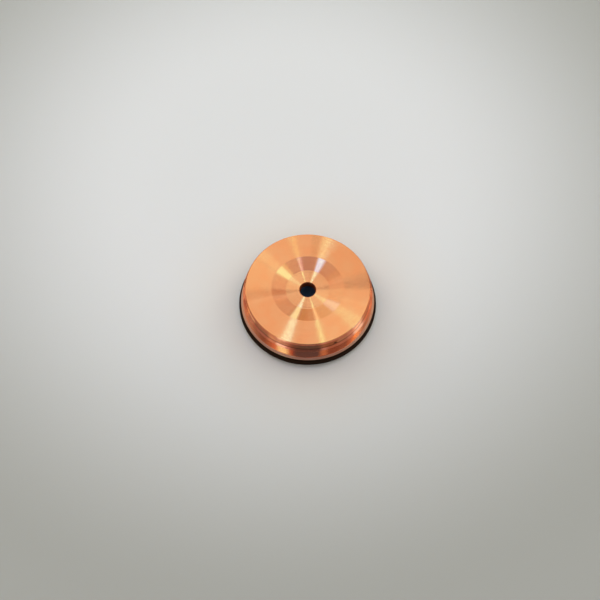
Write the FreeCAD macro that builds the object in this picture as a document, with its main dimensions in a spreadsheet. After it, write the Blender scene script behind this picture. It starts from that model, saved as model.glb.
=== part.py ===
import FreeCAD, Part
import os

import Sketcher

# Plasma shield cap: a turned copper disc with a dished front face, a stepped side, a seal ring in a groove
# near its rear rim and an open chamber behind. The rear rim stands on z = 0 with its centre at the origin,
# and +Z leads out of the front face. Millimetres.

DRIVING_SIZES = (
    # overall
    ("total_height", 10.2, "rear rim to front face"),
    # flange, lower wall and front drum
    ("flange_radius", 18.5, "outside of the flange above the seal groove"),
    ("flange_land", 0.45, "height of the flange's upright edge"),
    ("flange_reach", 0.6, "how far the flange stands out from the wall"),
    ("flange_top_flat", 0.1, "flat left on the flange between its hollow corner and its broken edge"),
    ("flange_chamfer", 0.15, "broken upper edge of the flange"),
    ("ledge_width", 0.6, "step from the wall in to the front drum"),
    ("ledge_chamfer", 0.18, "broken edge of the ledge"),
    ("drum_height", 2.8, "front face down to the ledge"),
    ("face_bevel_run", 0.3, "bevel of the face edge, across the face"),
    ("face_bevel_drop", 0.5, "bevel of the face edge, down the side"),
    # seal ring and its groove
    ("seal_cord", 1.78, "thickness of the seal ring's cord"),
    ("seal_proud", 0.6, "how far the ring stands out of the flange"),
    ("seal_side_play", 0.62, "room beside the ring along the groove's width"),
    ("seal_clearance", 0.02, "gap between the ring and the groove's floor and lower side"),
    # rear lip under the groove
    ("rear_lip_height", 0.75, "rear rim to the seal groove"),
    ("rear_lip_setback", 0.5, "how far the lip stays inside the flange"),
    ("rear_lip_chamfer", 0.25, "chamfer of the lip's rear edge"),
    # dished front face
    ("dish_outer_radius", 10.0, "where the cone leaves the flat face"),
    ("dish_inner_radius", 6.0, "where the cone meets the flat floor"),
    ("dish_depth", 0.8, "floor of the dish below the face"),
    # orifice
    ("orifice_radius", 2.15, "hole that the arc leaves through"),
    ("orifice_length", 2.2, "thickness of the front web at the orifice"),
    ("orifice_front_chamfer", 0.2, "broken edge at the dish's floor"),
    ("orifice_rear_chamfer", 0.3, "lead-in on the chamber side"),
    # rear chamber
    ("bore_radius", 15.0, "locating bore behind the rear rim"),
    ("bore_depth", 4.2, "rear rim to the shoulder"),
    ("bore_chamfer", 0.4, "lead-in of the locating bore"),
    ("shoulder_width", 3.0, "flat ring at the bore's end"),
    ("chamber_end_radius", 4.5, "chamber's flat end round the orifice"),
    ("chamber_corner", 0.8, "corner radius at the chamber's end"),
    # nick in the drum's wall
    ("nick_radius", 0.28, "small round dent"),
    ("nick_rise", 0.7, "dent's centre above the ledge"),
    ("nick_angle", 25.4, "degrees from -Y towards +X"),
)

# Radii, as expressions of the driving sizes
WALL_RADIUS = "(Sizes.flange_radius - Sizes.flange_reach)"
DRUM_RADIUS = f"({WALL_RADIUS} - Sizes.ledge_width)"
REAR_LIP_RADIUS = "(Sizes.flange_radius - Sizes.rear_lip_setback)"
SEAL_RING_INNER_RADIUS = "(Sizes.flange_radius + Sizes.seal_proud - Sizes.seal_cord)"
GROOVE_FLOOR_RADIUS = f"({SEAL_RING_INNER_RADIUS} - Sizes.seal_clearance)"

# Levels above the rear rim, as expressions of the driving sizes
GROOVE_LOWER_LEVEL = "Sizes.rear_lip_height"
GROOVE_UPPER_LEVEL = f"({GROOVE_LOWER_LEVEL} + Sizes.seal_cord + Sizes.seal_side_play)"
FLANGE_TOP_LEVEL = f"({GROOVE_UPPER_LEVEL} + Sizes.flange_land)"
LEDGE_LEVEL = "(Sizes.total_height - Sizes.drum_height)"
DISH_FLOOR_LEVEL = "(Sizes.total_height - Sizes.dish_depth)"
CHAMBER_END_LEVEL = f"({DISH_FLOOR_LEVEL} - Sizes.orifice_length)"

# How far a cutting outline runs past the surface that it opens
OVERRUN = 1.0
# How closely an edge has to match the circle that it is looked up by
EDGE_MATCH = 1e-5


def make_sizes(document):
    """The sheet of driving sizes: name, value, meaning."""
    sheet = document.addObject("Spreadsheet::Sheet", "Sizes")
    for row, (name, value, meaning) in enumerate(DRIVING_SIZES, start=1):
        sheet.set(f"A{row}", name)
        sheet.set(f"B{row}", str(value))
        sheet.set(f"C{row}", meaning)
        sheet.setAlias(f"B{row}", name)
    document.recompute()
    return sheet


def origin_plane(body, role):
    return next(item for item in body.Origin.OriginFeatures if item.Role == role)


def new_sketch(body, name, plane):
    sketch = body.newObject("Sketcher::SketchObject", name)
    sketch.AttachmentSupport = (origin_plane(body, plane), [""])
    sketch.MapMode = "FlatFace"
    return sketch


def add_outline(body, name, corners):
    """A closed outline on the body's XZ plane. Each corner is a pair of expressions, radius and level, and has
    its own two dimensions, bound to them."""
    sketch = new_sketch(body, name, "XZ_Plane")
    places = [tuple(float(sketch.evalExpression(size)) for size in corner) for corner in corners]
    points = [FreeCAD.Vector(radius, level, 0) for radius, level in places]
    for start, end in zip(points, points[1:] + points[:1]):
        sketch.addGeometry(Part.LineSegment(start, end), False)
    count = len(points)
    for line in range(count):
        sketch.addConstraint(Sketcher.Constraint("Coincident", line, 2, (line + 1) % count, 1))
    for line, (corner, place) in enumerate(zip(corners, places)):
        for kind, size, value in zip(("DistanceX", "DistanceY"), corner, place):
            index = sketch.addConstraint(Sketcher.Constraint(kind, -1, 1, line, 1, value))
            sketch.setExpression(f"Constraints[{index}]", size)
    return sketch


def turn(body, kind, name, outline):
    """Turn an outline about the body's axis. PartDesign::Revolution adds it, PartDesign::Groove cuts it."""
    feature = body.newObject(kind, name)
    feature.Profile = outline
    feature.ReferenceAxis = (outline, ["V_Axis"])
    feature.Angle = 360
    outline.Visibility = False
    body.Document.recompute()
    return feature


def circle_edges(feature, circles):
    """The feature's full-circle edges about the axis, looked up by (radius, level) pairs of expressions."""
    found = []
    for circle in circles:
        radius, level = (float(feature.evalExpression(size)) for size in circle)
        for number, edge in enumerate(feature.Shape.Edges, start=1):
            curve = edge.Curve
            if not isinstance(curve, Part.Circle):
                continue
            on_axis = (curve.Center - FreeCAD.Vector(0, 0, level)).Length < EDGE_MATCH
            if on_axis and abs(curve.Radius - radius) < EDGE_MATCH:
                found.append(f"Edge{number}")
                break
        else:
            raise RuntimeError(f"{feature.Name} has no circle of radius {radius} at level {level}")
    return found


def soften(body, kind, name, size, circles):
    """A PartDesign::Fillet or PartDesign::Chamfer on circular edges of the body's last feature."""
    base = body.Tip
    feature = body.newObject(kind, name)
    feature.Base = (base, circle_edges(base, circles))
    feature.setExpression("Radius" if kind.endswith("Fillet") else "Size", size)
    body.Document.recompute()
    return feature


def check_cut(before, body, name):
    """A cut that points away from the solid removes nothing and shows no error."""
    if body.Shape.Volume >= before:
        raise RuntimeError(f"{name} removed nothing")


def make_blank(body):
    """The outside of the turned blank: rear lip, flange, wall, ledge, drum and bevelled face edge."""
    outline = add_outline(body, "BlankOutline", (
        ("0", "0"),
        (REAR_LIP_RADIUS, "0"),
        (REAR_LIP_RADIUS, GROOVE_LOWER_LEVEL),
        ("Sizes.flange_radius", GROOVE_LOWER_LEVEL),
        ("Sizes.flange_radius", FLANGE_TOP_LEVEL),
        (WALL_RADIUS, FLANGE_TOP_LEVEL),
        (WALL_RADIUS, LEDGE_LEVEL),
        (DRUM_RADIUS, LEDGE_LEVEL),
        (DRUM_RADIUS, "Sizes.total_height - Sizes.face_bevel_drop"),
        (f"{DRUM_RADIUS} - Sizes.face_bevel_run", "Sizes.total_height"),
        ("0", "Sizes.total_height"),
    ))
    turn(body, "PartDesign::Revolution", "Blank", outline)
    soften(body, "PartDesign::Fillet", "FlangeCove",
           "Sizes.flange_reach - Sizes.flange_top_flat - Sizes.flange_chamfer",
           [(WALL_RADIUS, FLANGE_TOP_LEVEL)])
    soften(body, "PartDesign::Chamfer", "FlangeChamfer", "Sizes.flange_chamfer",
           [("Sizes.flange_radius", FLANGE_TOP_LEVEL)])
    soften(body, "PartDesign::Chamfer", "LedgeChamfer", "Sizes.ledge_chamfer",
           [(WALL_RADIUS, LEDGE_LEVEL)])


def cut_seal_groove(body):
    """The groove for the seal ring, between the flange and the rear lip."""
    before = body.Shape.Volume
    past_flange = f"Sizes.flange_radius + {OVERRUN}"
    outline = add_outline(body, "SealGrooveOutline", (
        (GROOVE_FLOOR_RADIUS, GROOVE_LOWER_LEVEL),
        (past_flange, GROOVE_LOWER_LEVEL),
        (past_flange, GROOVE_UPPER_LEVEL),
        (GROOVE_FLOOR_RADIUS, GROOVE_UPPER_LEVEL),
    ))
    turn(body, "PartDesign::Groove", "SealGroove", outline)
    check_cut(before, body, "SealGroove")


def cut_face_dish(body):
    """The shallow dish in the front face: a cone from the flat ring down to a flat floor."""
    before = body.Shape.Volume
    above_face = f"Sizes.total_height + {OVERRUN}"
    outline = add_outline(body, "FaceDishOutline", (
        ("0", DISH_FLOOR_LEVEL),
        ("Sizes.dish_inner_radius", DISH_FLOOR_LEVEL),
        ("Sizes.dish_outer_radius", "Sizes.total_height"),
        ("Sizes.dish_outer_radius", above_face),
        ("0", above_face),
    ))
    turn(body, "PartDesign::Groove", "FaceDish", outline)
    check_cut(before, body, "FaceDish")


def cut_rear_chamber(body):
    """The open rear: locating bore, shoulder and a coned chamber that narrows towards the orifice."""
    before = body.Shape.Volume
    below_rim = f"-{OVERRUN}"
    outline = add_outline(body, "RearChamberOutline", (
        ("0", below_rim),
        ("Sizes.bore_radius", below_rim),
        ("Sizes.bore_radius", "Sizes.bore_depth"),
        ("Sizes.bore_radius - Sizes.shoulder_width", "Sizes.bore_depth"),
        ("Sizes.chamber_end_radius", CHAMBER_END_LEVEL),
        ("0", CHAMBER_END_LEVEL),
    ))
    turn(body, "PartDesign::Groove", "RearChamber", outline)
    check_cut(before, body, "RearChamber")
    soften(body, "PartDesign::Fillet", "ChamberCorner", "Sizes.chamber_corner",
           [("Sizes.chamber_end_radius", CHAMBER_END_LEVEL)])


def cut_orifice(body):
    """The round hole through the front web, with its edges broken."""
    before = body.Shape.Volume
    sketch = new_sketch(body, "OrificeCircle", "XY_Plane")
    radius = float(sketch.evalExpression("Sizes.orifice_radius"))
    centre = FreeCAD.Vector(0, 0, 0)
    sketch.addGeometry(Part.Circle(centre, FreeCAD.Vector(0, 0, 1), radius), False)
    sketch.addConstraint(Sketcher.Constraint("Coincident", 0, 3, -1, 1))
    index = sketch.addConstraint(Sketcher.Constraint("Radius", 0, radius))
    sketch.setExpression(f"Constraints[{index}]", "Sizes.orifice_radius")
    orifice = body.newObject("PartDesign::Pocket", "Orifice")
    orifice.Profile = sketch
    orifice.Type = "ThroughAll"
    orifice.Reversed = True
    sketch.Visibility = False
    body.Document.recompute()
    check_cut(before, body, "Orifice")
    soften(body, "PartDesign::Chamfer", "OrificeFrontEdge", "Sizes.orifice_front_chamfer",
           [("Sizes.orifice_radius", DISH_FLOOR_LEVEL)])
    soften(body, "PartDesign::Chamfer", "OrificeRearEdge", "Sizes.orifice_rear_chamfer",
           [("Sizes.orifice_radius", CHAMBER_END_LEVEL)])


def break_rear_edges(body):
    """Chamfers on the rear rim: the lip's outer edge and the bore's lead-in."""
    soften(body, "PartDesign::Chamfer", "LipChamfer", "Sizes.rear_lip_chamfer",
           [(REAR_LIP_RADIUS, "0")])
    soften(body, "PartDesign::Chamfer", "BoreChamfer", "Sizes.bore_chamfer",
           [("Sizes.bore_radius", "0")])


def dent_drum_wall(body):
    """One small round nick in the drum's wall, near the ledge."""
    before = body.Shape.Volume
    nick = body.newObject("PartDesign::SubtractiveSphere", "Nick")
    nick.setExpression("Radius", "Sizes.nick_radius")
    nick.setExpression("Placement.Base.x", f"{DRUM_RADIUS} * sin(Sizes.nick_angle * 1 deg)")
    nick.setExpression("Placement.Base.y", f"-{DRUM_RADIUS} * cos(Sizes.nick_angle * 1 deg)")
    nick.setExpression("Placement.Base.z", f"{LEDGE_LEVEL} + Sizes.nick_rise")
    body.Document.recompute()
    check_cut(before, body, "Nick")


def make_shield_body(document):
    """The copper body, turned from one blank."""
    body = document.addObject("PartDesign::Body", "ShieldBody")
    body.Label = "shield_body"
    make_blank(body)
    cut_seal_groove(body)
    cut_face_dish(body)
    cut_rear_chamber(body)
    cut_orifice(body)
    break_rear_edges(body)
    dent_drum_wall(body)
    return body


def make_seal_ring(document):
    """The rubber ring, resting on the groove's lower side and round its floor."""
    ring = document.addObject("Part::Torus", "SealRing")
    ring.Label = "o_ring"
    ring.setExpression("Radius1", f"{SEAL_RING_INNER_RADIUS} + Sizes.seal_cord / 2")
    ring.setExpression("Radius2", "Sizes.seal_cord / 2")
    level = f"{GROOVE_LOWER_LEVEL} + Sizes.seal_clearance + Sizes.seal_cord / 2"
    ring.setExpression("Placement.Base.z", level)
    return ring


def check_document(document, parts):
    """Stop before anything is written if a feature failed or a part is not a sound solid."""
    for item in document.Objects:
        if {"Invalid", "Error"} & set(item.State):
            raise RuntimeError(f"{item.Name} failed: {item.State}")
    for part in parts:
        if part.Shape.isNull() or not part.Shape.isValid() or len(part.Shape.Solids) != 1:
            raise RuntimeError(f"{part.Label} is not one valid solid")


def main():
    document = FreeCAD.newDocument("ShieldCap")
    make_sizes(document)
    parts = [make_shield_body(document), make_seal_ring(document)]
    document.recompute()
    check_document(document, parts)
    os.makedirs("parts", exist_ok=True)
    for part in parts:
        part.Shape.exportStep(os.path.join("parts", f"{part.Label}.step"))
        box = part.Shape.BoundBox
        print(part.Label, round(part.Shape.Volume, 3), "mm3", round(box.XLength, 3), round(box.ZLength, 3))


main()
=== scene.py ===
import math

import bpy
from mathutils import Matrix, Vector


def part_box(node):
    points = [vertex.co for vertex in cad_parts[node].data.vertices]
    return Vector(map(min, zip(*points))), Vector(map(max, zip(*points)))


# A turned copper shield cap with its black seal ring, standing on a pale floor. Both keep their CAD shape and
# get their finish here. Lengths are in metres.

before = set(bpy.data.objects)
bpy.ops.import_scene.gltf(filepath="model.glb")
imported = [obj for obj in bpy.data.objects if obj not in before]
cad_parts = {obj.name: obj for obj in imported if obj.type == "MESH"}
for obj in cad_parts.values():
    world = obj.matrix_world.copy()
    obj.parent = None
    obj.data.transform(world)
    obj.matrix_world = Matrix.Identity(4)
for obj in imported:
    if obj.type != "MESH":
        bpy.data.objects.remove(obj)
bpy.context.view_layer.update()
MM = 0.001
FACE_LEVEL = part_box("shield_body")[1].z
FACE_CENTRE = Vector((0, 0, FACE_LEVEL))

# The camera looks down on the face from the front. Its lens and its sensor are in millimetres.
CAMERA_ELEVATION = math.radians(62.66)
CAMERA_PLACE = Vector((-2.12, -191.75, 374.07)) * MM
CAMERA_LENS = 90.0
CAMERA_SENSOR = 36.0
TO_CAMERA = (CAMERA_PLACE - FACE_CENTRE).normalized()


def rgb(red, green, blue):
    """An opaque colour for a shader's socket."""
    return (red, green, blue, 1.0)


class Graph:
    """A short way to write a node tree: each call makes one node and returns its output."""

    def __init__(self, tree):
        self.tree = tree
        self.tree.nodes.clear()

    def node(self, kind, inputs=None, output=0, **settings):
        made = self.tree.nodes.new(kind)
        for name, value in settings.items():
            setattr(made, name, value)
        for name, value in (inputs or {}).items():
            if isinstance(value, bpy.types.NodeSocket):
                self.tree.links.new(value, made.inputs[name])
            else:
                made.inputs[name].default_value = value
        return made.outputs[output] if len(made.outputs) else made

    def math(self, operation, a, b=0.0):
        return self.node("ShaderNodeMath", {0: a, 1: b}, operation=operation)

    def both(self, a, b):
        """Where mask a and mask b hold."""
        return self.math("MULTIPLY", a, b)

    def vector(self, operation, a, b=(0.0, 0.0, 0.0), output=0):
        return self.node("ShaderNodeVectorMath", {0: a, 1: b}, output=output, operation=operation)

    def measured(self, operation, a, b=(0.0, 0.0, 0.0)):
        """The length of a vector, or the distance of two places: the node's second output."""
        return self.vector(operation, a, b, output=1)

    def scaled(self, vector, factor):
        return self.node("ShaderNodeVectorMath", {0: vector, 3: factor}, operation="SCALE")

    def upward(self, vector):
        """The part of a vector along Z."""
        return self.node("ShaderNodeSeparateXYZ", {0: vector}, output="Z")

    def remap(self, value, low, high, to_low=0.0, to_high=1.0):
        """A smooth step from to_low to to_high, as value goes from low to high."""
        inputs = {"Value": value, "From Min": low, "From Max": high, "To Min": to_low, "To Max": to_high}
        return self.node("ShaderNodeMapRange", inputs, interpolation_type="SMOOTHSTEP")

    # A mix node takes its factor at 0, its numbers at 2 and 3, its colours at 6 and 7. Output 2 is a colour.
    def blend(self, factor, a, b, how="MIX"):
        inputs = {0: factor, 6: a, 7: b}
        return self.node("ShaderNodeMix", inputs, output=2, data_type="RGBA", blend_type=how)

    def number(self, factor, a, b):
        return self.node("ShaderNodeMix", {0: factor, 2: a, 3: b})

    def noise(self, dimensions, scale, detail, **vector):
        inputs = {**vector, "Scale": scale, "Detail": detail}
        return self.node("ShaderNodeTexNoise", inputs, noise_dimensions=dimensions)


def new_material(name):
    material = bpy.data.materials.new(name)
    material.use_nodes = True
    return material, Graph(material.node_tree)


# Where the parts of the turned surface lie. A mask fades within EDGE to either side of a part's border, and
# that of the side over SIDE_FADE, on the bevel. The heights of the painted shade at the foot of the drum
# count from the ledge.
EDGE = 0.02 * MM
DISH_FLOOR_RADIUS = 6.0 * MM
BORE_EDGE = 2.35 * MM
FACE_RADIUS = 17.0 * MM
SIDE_FADE = 0.25 * MM
DRUM_RADIUS = 17.3 * MM
BEVEL_LEVEL = FACE_LEVEL - 0.5 * MM
LEDGE_LEVEL = FACE_LEVEL - 2.8 * MM
FLANGE_TOP = FACE_LEVEL - 6.1 * MM
FLANGE_EDGE = FACE_LEVEL - 6.5 * MM
FOOT_SHADE_FROM = 0.7 * MM
FOOT_SHADE_TO = 0.1 * MM
NICK_ANGLE = math.radians(25.4)
NICK_LEVEL = LEDGE_LEVEL + 0.9 * MM
NICK_PLACE = Vector((DRUM_RADIUS * math.sin(NICK_ANGLE), -DRUM_RADIUS * math.cos(NICK_ANGLE), NICK_LEVEL))
NICK_RIM = 0.52 * MM
NICK_CORE = 0.40 * MM

# How upright the normal is tells the parts apart: 0 on a wall and 1 on a flat. A mask goes from 0 to 1
# between the two values.
WALL_UPRIGHT = (0.6, 0.1)
LEDGE_UPRIGHT = (0.8, 0.95)
BEVEL_UPRIGHT = (0.9, 0.8)
SLANT_UPRIGHT = (0.55, 0.65)
SLANT_NOT_FLAT = (0.85, 0.75)

# The tool marks lean by up to half of each slope. A lean turns the normals of a whole part, as if all its
# marks faced the light.
MARK_DENSITY = 30000.0
MARK_SLOPE = 0.36
FLOOR_MARK_SLOPE = 0.75
WALL_MARK_SLOPE = 0.20
WALL_GRAIN = 0.20
FLANGE_GRAIN = 0.9
WALL_LEAN = 0.74
DRUM_LEAN = 0.87
BEVEL_LEAN = 0.39
LEDGE_LEAN = 1.0
FACE_ROUGHNESS = 0.085
SIDE_ROUGHNESS = 0.10
DULL_ROUGHNESS = 0.35

FACE_COLOUR = rgb(0.86, 0.345, 0.125)
DISH_FLOOR_COLOUR = rgb(0.85, 0.370, 0.140)
SIDE_COLOUR = rgb(0.80, 0.24, 0.11)
DULL_COLOUR = rgb(0.50, 0.26, 0.15)
# Painted highlight: the flange's chamfer is a little lighter than the rest of its dull edge
DULL_SLANT_HIGHLIGHT = rgb(0.57, 0.29, 0.17)
# Painted shade: the foot of the drum, in the corner above the ledge, is darkened
FOOT_PAINTED_SHADE = rgb(0.26, 0.065, 0.032)
# Painted shade: the wall of the bore is coloured dark
BORE_PAINTED_SHADE = rgb(0.22, 0.05, 0.015)
# Painted shade: the nick in the drum is coloured near black
NICK_PAINTED_SHADE = rgb(0.02, 0.006, 0.004)
MOTTLE_DENSITY = 320.0
MOTTLE_RANGE = (0.3, 0.7)
MOTTLE_WARM = rgb(1.0, 0.97, 0.95)
MOTTLE_COOL = rgb(0.985, 1.03, 1.06)


def copper():
    """Bare turned copper. Tool marks run round the axis, so highlights spread into radial streaks."""
    material, g = new_material("turned_copper")
    position = g.node("ShaderNodeTexCoord", output="Object")
    normal = g.node("ShaderNodeNewGeometry", output="Normal")
    upright = g.math("ABSOLUTE", g.upward(normal))
    level = g.upward(position)
    outward = g.vector("MULTIPLY", position, (1.0, 1.0, 0.0))
    radius = g.measured("LENGTH", outward)

    # Masks of the parts
    side = g.remap(radius, FACE_RADIUS, FACE_RADIUS + SIDE_FADE)
    wall = g.both(side, g.remap(upright, *WALL_UPRIGHT))
    drum = g.remap(level, LEDGE_LEVEL - EDGE, LEDGE_LEVEL + EDGE)
    flat_side = g.both(side, g.remap(upright, *LEDGE_UPRIGHT))
    ledge = g.both(flat_side, g.remap(level, FLANGE_TOP + MM, LEDGE_LEVEL - EDGE))
    outer = g.remap(radius, FACE_RADIUS - EDGE, FACE_RADIUS + EDGE)
    cone = g.both(outer, g.remap(upright, *BEVEL_UPRIGHT))
    bevel = g.both(cone, g.remap(level, BEVEL_LEVEL - EDGE, BEVEL_LEVEL + EDGE))
    flange = g.both(side, g.remap(level, FLANGE_TOP + EDGE, FLANGE_TOP - EDGE))
    dull_edge = g.both(side, g.remap(level, FLANGE_EDGE + EDGE, FLANGE_EDGE - EDGE))
    dish_floor = g.remap(radius, DISH_FLOOR_RADIUS + EDGE, DISH_FLOOR_RADIUS - EDGE)
    slanted = g.both(g.remap(upright, *SLANT_UPRIGHT), g.remap(upright, *SLANT_NOT_FLAT))
    foot_shade = g.remap(level, LEDGE_LEVEL + FOOT_SHADE_FROM, LEDGE_LEVEL + FOOT_SHADE_TO)
    bore = g.remap(radius, BORE_EDGE + EDGE, BORE_EDGE - EDGE)
    nick_shade = g.remap(g.measured("DISTANCE", position, NICK_PLACE), NICK_RIM, NICK_CORE)

    # The normal: tool marks tilt it across themselves, grain along them, and the leans turn whole parts
    around = g.vector("NORMALIZE", g.vector("CROSS_PRODUCT", (0.0, 0.0, 1.0), position))
    across = g.vector("CROSS_PRODUCT", around, normal)
    marks = g.noise("1D", MARK_DENSITY, 1.0, W=g.math("SUBTRACT", radius, level))
    face_slope = g.number(dish_floor, MARK_SLOPE, FLOOR_MARK_SLOPE)
    steepest = g.number(g.math("MAXIMUM", wall, flange), face_slope, WALL_MARK_SLOPE)
    slope = g.math("MULTIPLY", g.math("SUBTRACT", marks, 0.5), steepest)
    grain = g.noise("3D", MARK_DENSITY, 1.0, Vector=position)
    coarse = g.number(flange, g.math("MULTIPLY", wall, WALL_GRAIN), FLANGE_GRAIN)
    wobble = g.math("MULTIPLY", g.math("SUBTRACT", grain, 0.5), coarse)
    wall_lean = g.math("MULTIPLY", wall, g.number(drum, WALL_LEAN, DRUM_LEAN))
    lean_up = g.math("ADD", wall_lean, g.math("MULTIPLY", bevel, BEVEL_LEAN))
    lean_out = g.math("MULTIPLY", ledge, LEDGE_LEAN)
    marked = g.vector("ADD", g.vector("ADD", normal, g.scaled(across, slope)), g.scaled(around, wobble))
    marked = g.vector("ADD", marked, g.scaled((0.0, 0.0, 1.0), lean_up))
    marked = g.vector("ADD", marked, g.scaled(g.vector("NORMALIZE", outward), lean_out))

    # The colour: a tint for each part, a faint mottle, a painted highlight on the flange's chamfer,
    # and painted shade at the foot of the drum, in the bore and in the nick
    colour = g.blend(side, g.blend(dish_floor, FACE_COLOUR, DISH_FLOOR_COLOUR), SIDE_COLOUR)
    # The flange's dull edge, with a painted highlight on its chamfer
    colour = g.blend(dull_edge, colour, g.blend(slanted, DULL_COLOUR, DULL_SLANT_HIGHLIGHT))
    # Painted shade in the corner at the foot of the drum, above the ledge
    colour = g.blend(g.both(g.both(wall, drum), foot_shade), colour, FOOT_PAINTED_SHADE)
    mottle = g.remap(g.noise("3D", MOTTLE_DENSITY, 2.0, Vector=position), *MOTTLE_RANGE)
    colour = g.blend(1.0, colour, g.blend(mottle, MOTTLE_WARM, MOTTLE_COOL), "MULTIPLY")
    # Painted shade: the wall of the bore is coloured dark, though its roughness is real
    colour = g.blend(bore, colour, BORE_PAINTED_SHADE)
    # Painted shade: the nick in the drum is coloured near black
    colour = g.blend(nick_shade, colour, NICK_PAINTED_SHADE)

    smooth = g.remap(radius, FACE_RADIUS, FACE_RADIUS + SIDE_FADE, FACE_ROUGHNESS, SIDE_ROUGHNESS)
    shader = g.node("ShaderNodeBsdfPrincipled", {
        "Base Color": colour,
        "Metallic": 1.0,
        "Roughness": g.number(g.math("MAXIMUM", bore, dull_edge), smooth, DULL_ROUGHNESS),
        "Anisotropic": 1.0,
        "Anisotropic Rotation": 0.25,
        "Tangent": g.node("ShaderNodeTangent", direction_type="RADIAL", axis="Z"),
        "Normal": g.vector("NORMALIZE", marked),
    })
    g.node("ShaderNodeOutputMaterial", {"Surface": shader})
    return material


def rubber():
    """Black nitrile rubber, nearly matt, with a faint warm gloss."""
    material, g = new_material("nitrile_rubber")
    shader = g.node("ShaderNodeBsdfPrincipled", {
        "Base Color": rgb(0.016, 0.007, 0.003),
        "Roughness": 0.75,
        "Specular IOR Level": 0.1,
        "Specular Tint": rgb(1.0, 0.66, 0.45),
    })
    g.node("ShaderNodeOutputMaterial", {"Surface": shader})
    return material


# Painted light on the floor: a painted pool of light makes it palest behind the cap, painted bounce light
# from the copper makes it a little warmer close to it, and painted shade makes it dark blue under it. The
# blue shows only through the orifice.
PAINTED_POOL_CENTRE = (-8 * MM, 42 * MM, 0.0)
PAINTED_POOL_RANGE = (40 * MM, 132 * MM)
PALE_COLOUR = rgb(0.80, 0.79, 0.665)
FAR_COLOUR = rgb(0.42, 0.413, 0.320)
PAINTED_BOUNCE_RANGE = (45 * MM, 21 * MM)
PAINTED_BOUNCE_TINT = rgb(1.0, 0.975, 0.93)
UNDER_RANGE = (15 * MM, 14 * MM)
UNDER_PAINTED_SHADE = rgb(0.20, 0.40, 0.60)
FLOOR_ROUGHNESS = 0.9
FLOOR_RADIUS = 0.95
FLOOR_CORNERS = 128


def floor_finish():
    """A pale floor that darkens away from a painted pool of light, with painted bounce and shade near the
    cap.
    """
    material, g = new_material("pale_floor")
    position = g.node("ShaderNodeTexCoord", output="Object")
    away = g.measured("DISTANCE", position, PAINTED_POOL_CENTRE)
    # Painted pool of light, palest behind the cap
    colour = g.blend(g.remap(away, *PAINTED_POOL_RANGE), PALE_COLOUR, FAR_COLOUR)
    radius = g.measured("LENGTH", position)
    # Painted bounce light from the copper, warming the floor near the cap
    colour = g.blend(g.remap(radius, *PAINTED_BOUNCE_RANGE), colour, PAINTED_BOUNCE_TINT, "MULTIPLY")
    # Painted shade under the cap, dark blue
    colour = g.blend(g.remap(radius, *UNDER_RANGE), colour, UNDER_PAINTED_SHADE)
    shader = g.node("ShaderNodeBsdfPrincipled", {"Base Color": colour, "Roughness": FLOOR_ROUGHNESS})
    g.node("ShaderNodeOutputMaterial", {"Surface": shader})
    return material


def set_finish(node, material):
    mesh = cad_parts[node].data
    mesh.materials.clear()
    mesh.materials.append(material)


set_finish("shield_body", copper())
set_finish("o_ring", rubber())

bpy.ops.mesh.primitive_circle_add(
    vertices=FLOOR_CORNERS, radius=FLOOR_RADIUS, fill_type="NGON", location=(0, 0, 0))
floor = bpy.context.object
floor.name = "floor"
floor.data.materials.append(floor_finish())


def soft_lamp(name, direction, distance, width, height, radiance, colour):
    """A rectangular lamp that faces the cap from a direction. A radiance of 1 looks white."""
    light = bpy.data.lights.new(name, "AREA")
    light.shape = "RECTANGLE"
    light.size = width
    light.size_y = height
    light.energy = radiance * math.pi * width * height
    light.color = colour
    lamp = bpy.data.objects.new(name, light)
    lamp.visible_camera = False
    towards = Vector(direction).normalized()
    lamp.location = FACE_CENTRE + towards * distance
    lamp.rotation_mode = "QUATERNION"
    lamp.rotation_quaternion = towards.to_track_quat("Z", "Y")
    bpy.context.scene.collection.objects.link(lamp)


def glow():
    """Light of a vertex's own colour, open where its alpha is 0."""
    material, g = new_material("glow")
    colour = g.node("ShaderNodeVertexColor", layer_name="glow")
    cover = colour.node.outputs["Alpha"]
    light = g.node("ShaderNodeEmission", {"Color": colour, "Strength": 1.0})
    clear = g.node("ShaderNodeBsdfTransparent")
    shader = g.node("ShaderNodeMixShader", {0: cover, 1: clear, 2: light})
    g.node("ShaderNodeOutputMaterial", {"Surface": shader})
    return material


GLOW = glow()

# The widest step between two columns of a ring, in degrees
RING_STEP = 3.0


def ring_columns(sections, softness):
    """The angle, colour and cover of each change. Neighbours fade into each other, and a gap is open."""
    columns = []
    for number, (first, last, colour) in enumerate(sections):
        if number == 0 or first - sections[number - 1][1] > 2 * softness:
            columns.append((first - softness, *colour, 0.0))
        columns.append((first + softness, *colour, 1.0))
        columns.append((last - softness, *colour, 1.0))
        if number == len(sections) - 1 or sections[number + 1][0] - last > 2 * softness:
            columns.append((last + softness, *colour, 0.0))
    return columns


def ring(name, place, zone, softness, sections):
    """A row of light that the metal reflects, between the two edges of its zone.

    A section is its first and last angle in degrees and its colour, where 1 looks white.
    """
    columns = ring_columns(sections, softness)
    stops = [columns[0]]
    for before, after in zip(columns, columns[1:]):
        steps = max(1, round((after[0] - before[0]) / RING_STEP))
        for step in range(1, steps + 1):
            stops.append([a + (b - a) * step / steps for a, b in zip(before, after)])
    corners = [place(angle, edge) for angle, *light in stops for edge in zone]
    faces = [(2 * n, 2 * n + 1, 2 * n + 3, 2 * n + 2) for n in range(len(stops) - 1)]
    mesh = bpy.data.meshes.new(name)
    mesh.from_pydata(corners, [], faces)
    lights = mesh.color_attributes.new("glow", "FLOAT_COLOR", "POINT")
    for number, corner in enumerate(lights.data):
        corner.color = stops[number // 2][1:]
    mesh.materials.append(GLOW)
    made = bpy.data.objects.new(name, mesh)
    made.visible_camera = False
    bpy.context.scene.collection.objects.link(made)


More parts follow.
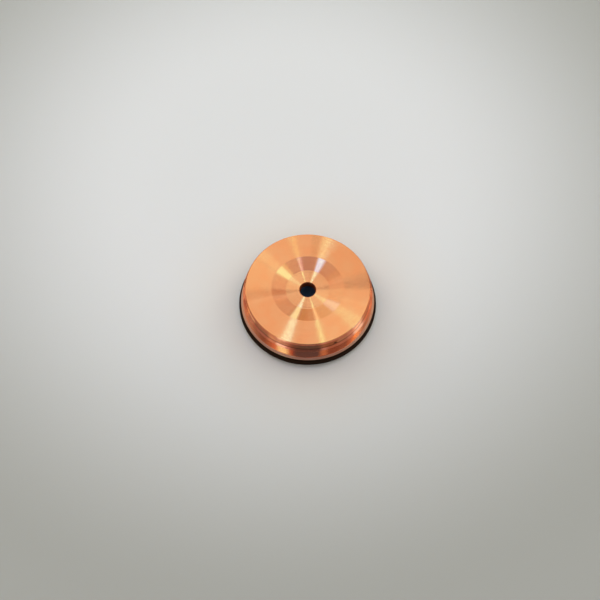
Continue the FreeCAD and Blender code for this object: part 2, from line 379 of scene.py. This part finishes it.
# How far the rings stand off, how low they may reach, and the spot on the side that they are aimed from
FACE_DISTANCE = 0.75
WALL_DISTANCE = 1.0
WALL_LOWEST = 0.012
WALL_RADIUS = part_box("shield_body")[1].x - 0.6 * MM
WALL_LEVEL = 5.5 * MM


def face_place(angle, offset):
    """The place that the flat face mirrors to the camera, moved off by an offset towards an angle from +X."""
    a = math.radians(angle)
    x = -TO_CAMERA.x + offset * math.cos(a)
    y = -TO_CAMERA.y + offset * math.sin(a)
    return FACE_CENTRE + Vector((x, y, math.sqrt(1 - x * x - y * y))) * FACE_DISTANCE


def wall_place(turn, lean):
    """The place that the side wall mirrors to the camera at a turn from the front, for marks that lean up."""
    a = math.radians(turn - 90)
    spot = Vector((WALL_RADIUS * math.cos(a), WALL_RADIUS * math.sin(a), WALL_LEVEL))
    to_camera = (CAMERA_PLACE - spot).normalized()
    marks = Vector((math.cos(a), math.sin(a), lean)).normalized()
    place = spot + (2 * marks.dot(to_camera) * marks - to_camera) * WALL_DISTANCE
    place.z = max(place.z, WALL_LOWEST)
    return place


SOFTBOX = {"distance": 0.8, "width": 0.52, "height": 0.36, "radiance": 0.36, "colour": (0.8, 0.95, 1.0)}
SIDE_LAMP = {"distance": 1.3, "width": 1.0, "height": 1.2, "radiance": 1.2, "colour": (1.0, 0.97, 0.9)}
soft_lamp("softbox", (0, 0.459, 0.888), **SOFTBOX)
soft_lamp("side_left", (-0.66, 0.48, 0.58), **SIDE_LAMP)
soft_lamp("side_right", (0.66, 0.48, 0.58), **SIDE_LAMP)

# What the flat parts of the face mirror. A zone is how far off the mirrored place a ring begins and ends, and
# within its softness one section fades into the next.
NEAR_ZONE = (0.07, 0.26)
NEAR_SOFTNESS = 1.2
ring("near_ring", face_place, NEAR_ZONE, NEAR_SOFTNESS, (
    (-2, 9, (0.42, 0.40, 0.52)),
    (9, 14.5, (0.62, 0.60, 0.68)),
    (15, 60, (0.88, 0.84, 0.86)),
    (62.9, 72.7, (1.25, 2.20, 2.30)),
    (75.5, 84, (0.62, 0.64, 0.64)),
    (103.0, 107.6, (1.30, 1.75, 1.50)),
    (137.5, 149.5, (1.20, 1.60, 1.75)),
    (152, 183, (1.12, 1.25, 1.30)),
    (184, 192, (0.82, 0.76, 0.80)),
    (193.5, 197.5, (1.15, 1.30, 1.60)),
    (242.2, 252.4, (1.45, 3.80, 6.30)),
    (282.0, 287.2, (1.40, 3.70, 3.90)),
    (290, 316, (1.15, 1.35, 1.50)),
    (317, 329, (1.20, 2.15, 2.40)),
    (330, 345, (1.15, 1.35, 1.50)),
))

# What the dish's flank mirrors
FAR_ZONE = (0.27, 0.52)
SOFTNESS = 1.6
ring("far_ring", face_place, FAR_ZONE, SOFTNESS, (
    (-52, -46, (0.98, 1.15, 1.20)),
    (-45, -31.5, (1.20, 2.25, 2.40)),
    (-29, -18, (0.86, 0.85, 1.00)),
    (-18, 1, (0.88, 0.88, 1.04)),
    (2, 13, (0.74, 0.60, 0.66)),
    (13, 24, (0.84, 0.80, 1.04)),
    (24, 56, (0.79, 0.74, 0.90)),
    (60.5, 72.3, (1.18, 2.05, 2.70)),
    (76, 90, (0.74, 0.60, 0.46)),
    (90, 101, (0.80, 0.71, 0.64)),
    (102.4, 107.4, (1.27, 1.53, 1.85)),
    (109, 132, (0.99, 1.06, 1.03)),
    (134.5, 150.0, (1.15, 1.60, 2.60)),
    (153, 180, (0.89, 0.94, 1.10)),
    (180, 190, (0.92, 0.93, 1.08)),
    (190, 205, (0.88, 0.83, 0.95)),
    (205, 217, (0.75, 0.67, 0.72)),
    (217, 239.5, (0.69, 0.64, 0.80)),
    (242.3, 252.6, (0.97, 1.92, 6.00)),
    (256, 279.5, (0.58, 0.54, 0.81)),
    (281.8, 287.2, (1.05, 0.96, 2.25)),
))

# What the side mirrors, turned from the front. The wall, the drum and the bevel have a zone each, here the
# leans of the marks that see it.
WALL_ZONE = (0.60, 0.80)
DRUM_ZONE = (0.80, 0.94)
BEVEL_ZONE = (0.94, 1.14)
ring("wall_ring", wall_place, WALL_ZONE, SOFTNESS, (
    (-105, -90, (1.30, 1.20, 1.10)),
    (-90, -84, (0.60, 0.50, 0.55)),
    (-84, -72, (0.44, 0.33, 0.42)),
    (-72, -62, (0.12, 0.04, 0.01)),
    (-62, -52, (0.05, 0.00, 0.00)),
    (-52, -40, (0.15, 0.04, 0.02)),
    (-40, -33, (0.42, 0.20, 0.10)),
    (-33, -28, (0.85, 0.42, 0.28)),
    (-27, -18, (1.42, 2.55, 2.05)),
    (-17, -13, (0.60, 0.26, 0.18)),
    (-13, 11, (0.12, 0.14, 0.22)),
    (11, 17, (0.66, 0.50, 0.35)),
    (17, 37, (0.26, 0.15, 0.13)),
    (37, 42, (0.58, 0.28, 0.16)),
    (42, 45, (1.30, 0.80, 0.30)),
    (45, 56, (2.95, 2.10, 0.50)),
    (57, 64, (1.15, 0.30, 0.05)),
    (64, 74, (1.10, 0.30, 0.10)),
    (74, 86, (1.00, 0.05, 0.00)),
    (86, 105, (1.60, 0.50, 0.20)),
))
ring("drum_ring", wall_place, DRUM_ZONE, SOFTNESS, (
    (-105, -85, (3.40, 4.00, 2.40)),
    (-85, -67, (2.25, 2.50, 1.40)),
    (-67, -57, (0.95, 1.38, 1.38)),
    (-57, -38, (0.36, 0.46, 0.47)),
    (-37, -31, (0.82, 1.05, 0.98)),
    (-31, -25, (0.55, 0.70, 0.68)),
    (-25, -16, (0.35, 0.23, 0.28)),
    (-16, -8, (0.18, 0.21, 0.24)),
    (-8, 12.5, (0.13, 0.19, 0.23)),
    (13, 28, (0.26, 0.26, 0.22)),
    (28, 40, (0.47, 0.60, 0.64)),
    (40, 47.5, (0.68, 0.80, 0.95)),
    (47.5, 57, (1.30, 2.15, 2.60)),
    (57, 60, (0.80, 1.00, 0.95)),
    (60, 70, (0.62, 0.70, 0.54)),
    (70, 78, (1.20, 1.25, 0.90)),
    (78, 88, (1.70, 1.80, 1.15)),
    (88, 105, (2.40, 2.40, 1.70)),
))
ring("bevel_ring", wall_place, BEVEL_ZONE, SOFTNESS, (
    (-105, -92, (2.60, 2.80, 2.40)),
    (-92, -84, (1.60, 1.50, 1.35)),
    (-84, -68, (0.58, 0.44, 0.44)),
    (-68, -56, (0.50, 0.44, 0.48)),
    (-56, -38, (0.43, 0.37, 0.44)),
    (-38, -29, (0.70, 0.66, 0.66)),
    (-29, -20, (1.50, 2.30, 3.10)),
    (-20, -16, (0.77, 0.82, 1.10)),
    (-16, -12, (0.32, 0.28, 0.33)),
    (-12, 11.5, (0.10, 0.10, 0.16)),
    (12, 17, (0.58, 0.64, 0.82)),
    (17, 38, (0.42, 0.36, 0.38)),
    (38, 45, (0.63, 0.63, 0.75)),
    (45, 58.5, (1.25, 2.00, 2.60)),
    (58.5, 62, (0.80, 0.90, 1.05)),
    (62, 74, (0.80, 0.66, 0.58)),
    (74, 86, (1.10, 0.95, 0.85)),
    (86, 92, (1.60, 1.50, 1.35)),
    (92, 105, (2.40, 2.30, 2.00)),
))

# The room: brownish near the horizon, cooler above and a little bluer straight overhead
HORIZON_COLOUR = rgb(0.3, 0.22, 0.2)
ROOM_COLOUR = rgb(0.72, 0.69, 0.82)
OVERHEAD_COLOUR = rgb(0.72, 0.68, 0.9)
ROOM_HEIGHTS = (0.05, 0.75)
OVERHEAD_HEIGHTS = (0.9, 0.985)
world = bpy.data.worlds.new("studio")
bpy.context.scene.world = world
world.use_nodes = True
w = Graph(world.node_tree)
height = w.upward(w.node("ShaderNodeTexCoord", output="Generated"))
room = w.blend(w.remap(height, *ROOM_HEIGHTS), HORIZON_COLOUR, ROOM_COLOUR)
sky = w.blend(w.remap(height, *OVERHEAD_HEIGHTS), room, OVERHEAD_COLOUR)
w.node("ShaderNodeOutputWorld", {"Surface": w.node("ShaderNodeBackground", {"Color": sky})})

camera = bpy.data.objects.new("camera", bpy.data.cameras.new("camera"))
camera.data.lens = CAMERA_LENS
camera.data.sensor_width = CAMERA_SENSOR
camera.location = CAMERA_PLACE
camera.rotation_euler = (math.pi / 2 - CAMERA_ELEVATION, 0.0, 0.0)
bpy.context.scene.collection.objects.link(camera)
bpy.context.scene.camera = camera
bpy.context.scene.view_settings.view_transform = "Standard"
